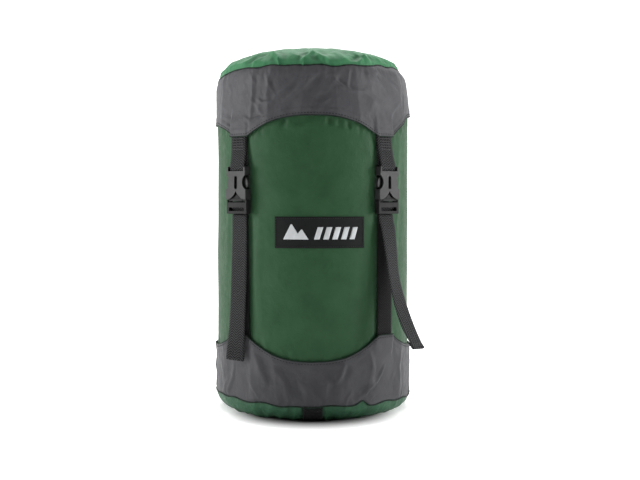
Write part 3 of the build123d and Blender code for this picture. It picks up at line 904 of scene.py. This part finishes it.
def open_shell(name, grid, lay, thickness, material):
    """Closed patch from an open grid of points, rows by columns, whose normals face out."""
    rows, cols = grid.shape[:2]
    n = np.cross(np.gradient(grid, axis=1), np.gradient(grid, axis=0))
    n /= np.maximum(np.linalg.norm(n, axis=-1, keepdims=True), 1e-9)
    inner = grid - n * thickness
    points = np.concatenate([grid.reshape(-1, 3), inner.reshape(-1, 3)])
    lays = np.concatenate([lay.reshape(-1, 3), lay.reshape(-1, 3)])
    index = np.arange(rows * cols).reshape(rows, cols)
    quads = np.stack([index[:-1, :-1], index[:-1, 1:], index[1:, 1:], index[1:, :-1]], -1).reshape(-1, 4)
    faces = np.concatenate([quads, quads[:, ::-1] + rows * cols]).tolist()
    edge = list(index[0, :]) + list(index[1:, -1]) + list(index[-1, -2::-1]) + list(index[-2:0:-1, 0])
    for a, b in zip(edge, edge[1:] + edge[:1]):
        faces.append([b, a, a + rows * cols, b + rows * cols])
    return make_mesh(name, points, faces, material, lays)


handle_route = [(-106.3, 17.0), (-106.0, 11.5), (-103.2, 6.0), (-97.5, 2.4), (-90.0, 0.95), (-84.0, 0.74)]
handle_route += [(-40, 0.72), (0, 0.72), (40, 0.72)] + [(-y, z) for y, z in reversed(handle_route)]
path, far = smooth_path([(0, y, z) for y, z in handle_route], 2.0)
# the handle takes the darker webbing: painted shade
handle = ribbon("bottom_handle_web", path, far, [(1, 0, 0)] * len(path), SHADED_WEBBING)
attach(handle, "sack")
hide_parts("bottom_handle")


def build_collar():
    """Top of the sleeve, drawn in to the cord tunnel in pleats that deepen towards it."""
    a = np.linspace(0, np.arccos(44.8 / SACK_R), 56)[:, None]
    phi = np.broadcast_to(PHI, (56, COLS))
    share = a / a[-1]
    r = (SACK_R - 0.1) * np.cos(a) + 0 * phi
    z = SLEEVE_TOP + 22.0 * np.sin(a) + 0 * phi
    count = 34
    shift = 0.5 * waves(phi, 0 * phi, 61, 10, (2, 9), (0, 0))
    pleat = np.sin(count * phi + 2.2 * shift)
    pleat = np.sign(pleat) * np.abs(pleat) ** 0.8
    depth = 2.0 * share**1.5 + 0.5 * waves(phi, z, 62, 14, (3, 20), (0.05, 0.3)) * np.clip(share * 4, 0, 1)
    rise = pleat * depth
    r = r - 0.6 - shoulder_drop(phi, SLEEVE_TOP + 0 * phi) * (1 - share)
    grid = round_grid(r + rise * 0.15, phi, z + rise * np.clip(share * 2, 0, 1))
    return cloth_shell("mouth_collar_cloth", grid, sheet_lay(phi, 352 + 80 * share + 0 * phi), 0.7, LINING)


collar = build_collar()
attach(collar, "mouth")
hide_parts("mouth_collar")

tunnel_path = round_grid(44.3 + 0.4 * np.sin(34 * PHI), PHI, 371.0 + 0.5 * np.sin(34 * PHI + 1.0))
tunnel_size = 3.9 + 0.28 * np.abs(np.sin(34 * PHI)) + 0.15 * waves(PHI, 0 * PHI, 63, 10, (20, 70), (0, 0))
tunnel = tube_round("mouth_tunnel", tunnel_path, tunnel_size, LINING, 18)
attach(tunnel, "mouth")
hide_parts("mouth_hem")


# ---------------------------------------------------------------- label

LABEL_Z = (177.0, 209.0)
LABEL_AT = (radians(-21.5), radians(30.0))
LABEL_MIDDLE = (LABEL_AT[0] + LABEL_AT[1]) / 2


def on_label(s, z, lift):
    """Point over the label: s mm to the right of its middle."""
    phi = LABEL_MIDDLE + np.asarray(s, float) / SACK_R
    z = np.asarray(z, float)
    return round_grid(SACK_R + sleeve_relief(phi, z) + lift, phi, z), phi


def label_quad(name, corners, lift, thickness, material, nx, nz):
    """Patch between four (s, z) corners: low left, low right, high right, high left."""
    c = [np.array(p, float) for p in corners]
    i, j = np.meshgrid(np.linspace(0, 1, nz), np.linspace(0, 1, nx), indexing="ij")
    i, j = i[..., None], j[..., None]
    flat = (1 - i) * ((1 - j) * c[0] + j * c[1]) + i * ((1 - j) * c[3] + j * c[2])
    grid, _ = on_label(flat[..., 0], flat[..., 1], lift)
    lay = np.concatenate([flat, np.zeros(flat.shape[:2] + (1,))], -1)
    return open_shell(name, grid, lay, thickness, material)


half_s = (LABEL_AT[1] - LABEL_AT[0]) * SACK_R / 2
low, high = LABEL_Z
patch = label_quad(
    "label_patch", [(-half_s, low), (half_s, low), (half_s, high), (-half_s, high)], 0.85, 0.8, PATCH, 90, 30
)
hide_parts("label")

# A generic motif: two peaks and a row of slanted bars. It has no lettering.
mid = (low + high) / 2
motif = []
for k, (left, right, tip, height) in enumerate(((-38, -19, -29.5, 15.5), (-28, -12, -19.0, 10.0))):
    corners = [(left, mid - 7), (right, mid - 7), (tip + 0.5, mid - 7 + height), (tip - 0.5, mid - 7 + height)]
    motif.append(label_quad(f"peak_{k}", corners, 1.15 + 0.12 * k, 0.5, MOTIF, 14, 10))
for k in range(5):
    s = -6.5 + 9.2 * k
    corners = [(s, mid - 7), (s + 5.6, mid - 7), (s + 9.4, mid + 5.5), (s + 3.8, mid + 5.5)]
    motif.append(label_quad(f"bar_{k}", corners, 1.15, 0.5, MOTIF, 5, 9))
motif = join("label_motif", motif)


def stitch_run(points, lift_dirs, pitch=3.0, gap=0.9):
    """Ends of the stitches along a line of points, and the way each faces."""
    points = np.asarray(points, float)
    far = np.concatenate([[0], np.cumsum(np.linalg.norm(np.diff(points, axis=0), axis=1))])
    count = max(1, int(far[-1] / pitch))
    at = (np.arange(count) + 0.5) * far[-1] / count
    half = (far[-1] / count - gap) / 2

    def pick(values, where):
        return np.stack([np.interp(where, far, values[:, i]) for i in range(3)], -1)

    facing = pick(np.asarray(lift_dirs, float), at)
    facing /= np.linalg.norm(facing, axis=1, keepdims=True)
    return pick(points, at - half), pick(points, at + half), facing


def radial(points):
    out = np.asarray(points, float) * [1, 1, 0]
    return out / np.linalg.norm(out, axis=-1, keepdims=True)


def rows_of_stitches(name, runs, material, **options):
    parts = [stitch_run(points, facing, **options) for points, facing in runs]
    starts, ends, facing = (np.concatenate([p[i] for p in parts]) for i in range(3))
    return stitches(name, starts, ends, facing, material)


runs = []
inset = 1.5
for a, b in (((-1, -1), (1, -1)), ((1, -1), (1, 1)), ((1, 1), (-1, 1)), ((-1, 1), (-1, -1))):
    s = np.linspace(a[0], b[0], 60) * (half_s - inset)
    z = mid + np.linspace(a[1], b[1], 60) * ((high - low) / 2 - inset)
    line, _ = on_label(s, z, 0.9)
    runs.append((line, radial(line)))
label_stitches = rows_of_stitches("label_stitches", runs, THREAD, pitch=2.4, gap=0.7)
for piece in (patch, motif, label_stitches):
    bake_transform(piece)


# ---------------------------------------------------------------- stitching on the caps


def cap_stitches(name, grid, edge, offsets, body):
    """Rows of stitches that follow a scalloped edge, each at its distance from it."""
    runs = []
    for offset in offsets:
        line = np.empty((COLS + 1, 3))
        for c in range(COLS):
            column = grid[:, c]
            far = np.abs(column[:, 2] - edge[c])
            order = np.argsort(far)
            line[c] = [np.interp(offset, far[order], column[order, i]) for i in range(3)]
        line[-1] = line[0]
        runs.append((line, radial(line)))
    piece = rows_of_stitches(name, runs, THREAD, pitch=3.2, gap=1.0)
    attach(piece, body)
    return piece


skirt_trim = [cap_stitches("lid_skirt_stitches", skirt_grid, skirt_edge_at(PHI), (2.6,), "lid")]
band_trim = [cap_stitches("bottom_band_stitches", band_grid, band_edge_at(PHI), (2.6,), "sack")]
for name, ring, body, trim in (
    ("lid_skirt", skirt_grid[0], "lid", skirt_trim),
    ("bottom_band", band_grid[-1], "sack", band_trim),
):
    edging = tube_round(f"{name}_edge_binding", ring - ring * [1, 1, 0] / SACK_R * 0.3, np.full(COLS, 0.62), BINDING)
    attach(edging, body)
    trim.append(edging)


# ---------------------------------------------------------------- straps


UPPER_ROUTE = [
    (106.0, 306), (106.0, 292), (106.9, 283), (109.0, 272), (111.4, 263.5), (112.2, 258.6), (111.5, 256.5),
    (109.8, 255.9), (108.1, 256.5), (107.4, 258.6), (106.9, 264), (105.8, 272), (105.1, 283), (104.6, 294),
    (104.6, 306),
]
TURN_ROUTE = [
    (106.4, 214.5), (106.25, 218), (106.3, 221.2), (107.0, 223.0), (108.7, 223.8), (110.4, 223.0),
    (111.1, 221.5), (111.1, 219.8), (110.3, 218.2), (109.0, 216.9), (108.4, 215.4), (108.2, 213.6), (108.2, 211.5),
]
LOWER_ROUTE = [(105.7, 72), (105.7, 86), (105.8, 100), (106.0, 130), (106.1, 165), (106.3, 195), (106.4, 214.4)]
TAIL_ROOT = (108.2, 210.6)
FLARE = [(0.8, 6), (3.6, 14), (5.6, 25), (7.9, 40), (10.1, 58), (13.2, 74), (19.0, 93), (27.0, 112), (36.0, 127)]
FLARE += [(41.8, 134.4)]
TAILS = {
    # route away from the root as (out, down), the twist half way down and at the free end in degrees, and how
    # far the free end strays to the right
    "front_right": (FLARE, (15, 14), 9.0),
    "back_left": (FLARE, (-12, 8), -4.0),
    "front_left": ([(0, 6), (0.5, 30), (1.6, 60), (3.2, 95), (5.0, 125), (6.6, 150)], (4, 16), -3.4),
    "back_right": ([(0, 6), (0.5, 30), (1.6, 60), (3.3, 95), (5.1, 125), (6.4, 150)], (-5, -12), 2.8),
}
FOLD = 9.0


def drift(corner, z):
    """How far a strap strays between its buckle and either tab, as a shift to its right."""
    up = np.clip((np.asarray(z, float) - 262) / 30.0, 0, 1)
    down = np.clip((206 - np.asarray(z, float)) / 120.0, 0, 1)
    upper, lower = CORNERS[corner][2:]
    return upper * up**2 * (3 - 2 * up) + lower * down


def in_section(corner, route):
    """Points of a (distance out, height) route in a strap's upright plane."""
    facing, aside = CORNERS[corner][:2]
    n, t = outwards(facing), around(facing)
    return [n * v + t * (aside + drift(corner, z)) + np.array([0, 0, z]) for v, z in route]


def strap(name, corner, route, body, nodes, start=0.0, step=1.5):
    path, far = smooth_path(in_section(corner, route), step)
    piece = ribbon(name, path, far, [around(CORNERS[corner][0])] * len(path), WEBBING, start)
    if body:
        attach(piece, body)
    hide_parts(*nodes)
    return piece


def bead_bars(name, corner, route_at, heights, body, width=15.0):
    """Bar tacks: dense short rows of thread across a strap."""
    facing, aside = CORNERS[corner][:2]
    t, n = around(facing), outwards(facing)
    starts, ends, normals = [], [], []
    for z in heights:
        v, normal = route_at(z)
        for k in range(9):
            u = aside + drift(corner, z) + (k - 4) / 4 * (width / 2 - 1.2)
            middle = n * v + t * u + np.array([0, 0, z])
            starts.append(middle - t * 1.15)
            ends.append(middle + t * 1.15)
            normals.append(normal)
    piece = stitches(name, starts, ends, normals, TACKS, 0.5)
    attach(piece, body)
    return piece



def build_tail(corner):
    """Free end of a strap: it hangs from the ladder lock, twists a little and ends in a folded hem."""
    route, twist, stray = TAILS[corner]
    r, z = TAIL_ROOT
    centre = [(r, z + 0.1)] + [(r + out, z - down) for out, down in route]
    line = in_section(corner, centre)
    drop = (z - np.array([point[2] for point in line])) / 150.0
    line = [point + around(CORNERS[corner][0]) * stray * d**2 for point, d in zip(line, np.maximum(drop, 0))]
    path, far = smooth_path(line, 1.5)
    tangent = np.gradient(path, axis=0)
    tangent /= np.linalg.norm(tangent, axis=1, keepdims=True)
    t, n = around(CORNERS[corner][0]), outwards(CORNERS[corner][0])
    share = far / far[-1]
    late = np.clip((share - 0.55) / 0.4, 0, 1) ** 2
    turn = radians(twist[0]) * np.sin(pi * np.clip(share / 0.9, 0, 1)) ** 2 + radians(twist[1]) * late
    wide = t[None] * np.cos(turn)[:, None] - n[None] * np.sin(turn)[:, None]
    wide -= tangent * np.sum(wide * tangent, axis=1, keepdims=True)
    wide /= np.linalg.norm(wide, axis=1, keepdims=True)
    back = -np.cross(tangent, wide)
    end = far[-1]
    along = list(far[far < end - 1.2])
    local = [(a, 0.0) for a in along]
    local += [(end - 0.75 + 0.75 * sin(q), -0.75 + 0.75 * cos(q)) for q in np.linspace(0, pi, 9)]
    local += [(a, -1.5) for a in np.arange(end - 2.2, end - FOLD, -1.5)]
    local = np.array(local)

    def at(values):
        return np.stack([np.interp(local[:, 0], far, values[:, i]) for i in range(3)], -1)

    points = at(path) - at(back) * local[:, 1:]
    run = np.concatenate([[0], np.cumsum(np.linalg.norm(np.diff(points, axis=0), axis=1))])
    piece = ribbon(f"strap_tail_{corner}_web", points, run, at(wide), WEBBING)
    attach(piece, f"tail_{corner}")
    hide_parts(f"strap_tail_{corner}")
    rows = []
    for inset in (2.0, 6.8):
        k = int(np.argmin(np.abs(far - (end - inset))))
        line = path[k] - back[k] * 0.72 + wide[k] * np.linspace(-8.6, 8.6, 20)[:, None]
        rows.append((line, np.repeat(-back[k][None], 20, 0)))
    sewn = rows_of_stitches(f"strap_tail_{corner}_stitches", rows, THREAD, pitch=2.2, gap=0.6)
    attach(sewn, f"tail_{corner}")


def route_point(route, z):
    """Radius of the front run of a route at a height, and the way its face looks there."""
    top = route[:6]
    v = np.interp(-z, [-p[1] for p in top], [p[0] for p in top])
    slope = (np.interp(-z - 1, [-p[1] for p in top], [p[0] for p in top]) - v)
    return v, slope


for corner, (facing, *_) in CORNERS.items():
    strap(f"upper_loop_{corner}_web", corner, UPPER_ROUTE, "lid", [f"upper_loop_{corner}"], step=1.0)
    strap(f"strap_turn_{corner}_web", corner, TURN_ROUTE, f"plug_{corner}", [f"strap_turn_{corner}"], step=0.7)
    lower = strap(f"lower_strap_{corner}_web", corner, LOWER_ROUTE, None, [f"lower_strap_{corner}"])
    # the lower straps take the darker webbing: painted shade
    lower.data.materials[0] = SHADED_WEBBING
    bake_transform(lower)
    build_tail(corner)

    def front_face(z):
        v, slope = route_point(UPPER_ROUTE, z)
        normal = outwards(facing) + np.array([0, 0, slope])
        return v + 0.72, normal / np.linalg.norm(normal)

    bead_bars(f"upper_loop_{corner}_tacks", corner, front_face, (290.0, 287.2, 284.4, 281.6, 278.8), "lid")
    # the plugs take the darker acetal: painted shade
    for name, material in (("buckle_socket", PLASTIC), ("buckle_plug", PLUG_PLASTIC_PAINTED_SHADE),
                           ("left_prong", PLASTIC), ("right_prong", PLASTIC)):
        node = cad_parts[f"{name}_{corner}"]
        node.data.materials.clear()
        node.data.materials.append(material)

for name in ("mouth_eyelet_left", "mouth_eyelet_right"):
    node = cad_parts[name]
    node.data.materials.clear()
    node.data.materials.append(METAL)


# ---------------------------------------------------------------- stage, camera and light


def build_stage():
    floor_z = -0.0002
    profile = [(-2.5, floor_z), (1.2, floor_z)]
    for i in range(1, 13):
        a = i / 12 * pi / 2
        profile.append((1.2 + 0.8 * sin(a), floor_z + 0.8 * (1 - cos(a))))
    profile.append((2.0, 3.5))
    points, faces = [], []
    for y, z in profile:
        points += [(-4 / MM, y / MM, z / MM), (4 / MM, y / MM, z / MM)]
    for i in range(len(profile) - 1):
        faces.append((2 * i, 2 * i + 1, 2 * i + 3, 2 * i + 2))
    n = Nodes("studio_paper")
    # painted contact shadow: a dark ellipse on the paper in front of the base, where the paper also does not glow
    across, along, _ = n.put("ShaderNodeSeparateXYZ", position(n)).outputs
    forward = n.math("ADD", along, 0.064)
    narrowed = n.math("DIVIDE", across, 1.2)
    squares = n.math("ADD", n.math("MULTIPLY", forward, forward), n.math("MULTIPLY", narrowed, narrowed))
    outside_painted_shadow = n.remap(n.math("SQRT", squares), 0.030, 0.076, 0.0, 1.0)
    color = n.mix(outside_painted_shadow, rgba(0.07, 0.07, 0.07), rgba(0.87, 0.87, 0.87))
    # the paper glows more towards the back, and not in the painted shadow
    glow = n.math("ADD", n.remap(along, 0.15, 1.0, 0.0, 0.4), n.remap(outside_painted_shadow, 0.4, 1.0, 0.0, 0.32))
    n.tree.links.new(glow, n.shader.inputs["Emission Strength"])
    n.finish(color, 0.9, Emission_Color=rgba(1, 1, 1), Specular_IOR_Level=0.1)
    floor = make_mesh("studio_floor", points, faces, n.material)


def area_light(name, place, target, size, power, color=(1, 1, 1)):
    data = bpy.data.lights.new(name, "AREA")
    data.shape = "RECTANGLE"
    data.size, data.size_y = size
    data.energy = power
    data.color = color
    lamp = bpy.data.objects.new(name, data)
    lamp.location = place
    lamp.rotation_euler = (Vector(target) - Vector(place)).to_track_quat("-Z", "Y").to_euler()
    bpy.context.scene.collection.objects.link(lamp)


build_stage()
area_light("left_softbox", (-1.25, -0.2, 0.32), (0, 0, 0.2), (0.5, 1.05), 15.5)
area_light("right_softbox", (1.25, -0.2, 0.32), (0, 0, 0.2), (0.5, 1.05), 15.5)
area_light("top_softbox", (0, 0.6, 1.5), (0, 0, 0.2), (1.4, 1.0), 18)


def build_world():
    """White studio: bright overhead, pale behind and dim on the camera's side."""
    world = bpy.data.worlds.new("studio")
    world.use_nodes = True
    tree = world.node_tree
    place = tree.nodes.new("ShaderNodeTexCoord")
    parts = tree.nodes.new("ShaderNodeSeparateXYZ")
    tree.links.new(place.outputs["Generated"], parts.inputs[0])
    shades = []
    for axis, limits in ((1, (-0.8, 0.3, 0.01, 0.35)), (2, (0.55, 0.85, 0.0, 1.25))):
        shade = tree.nodes.new("ShaderNodeMapRange")
        shade.interpolation_type = "SMOOTHSTEP"
        for socket, value in zip(shade.inputs[1:5], limits):
            socket.default_value = value
        tree.links.new(parts.outputs[axis], shade.inputs[0])
        shades.append(shade.outputs[0])
    total = tree.nodes.new("ShaderNodeMath")
    for socket, value in zip(total.inputs, shades):
        tree.links.new(value, socket)
    back = tree.nodes["Background"]
    back.inputs[0].default_value = rgba(1, 1, 1)
    tree.links.new(total.outputs[0], back.inputs[1])
    bpy.context.scene.world = world


build_world()
bpy.context.scene.view_settings.view_transform = "Standard"

camera_data = bpy.data.cameras.new("camera")
camera_data.sensor_width = 36
camera_data.lens = 58.3
camera_data.shift_x = 7.3 / 640
camera_data.shift_y = -40 / 640
camera = bpy.data.objects.new("camera", camera_data)
camera.location = (0, -1.155, 0.226)
camera.rotation_euler = (pi / 2, 0, 0)
bpy.context.scene.collection.objects.link(camera)
bpy.context.scene.camera = camera
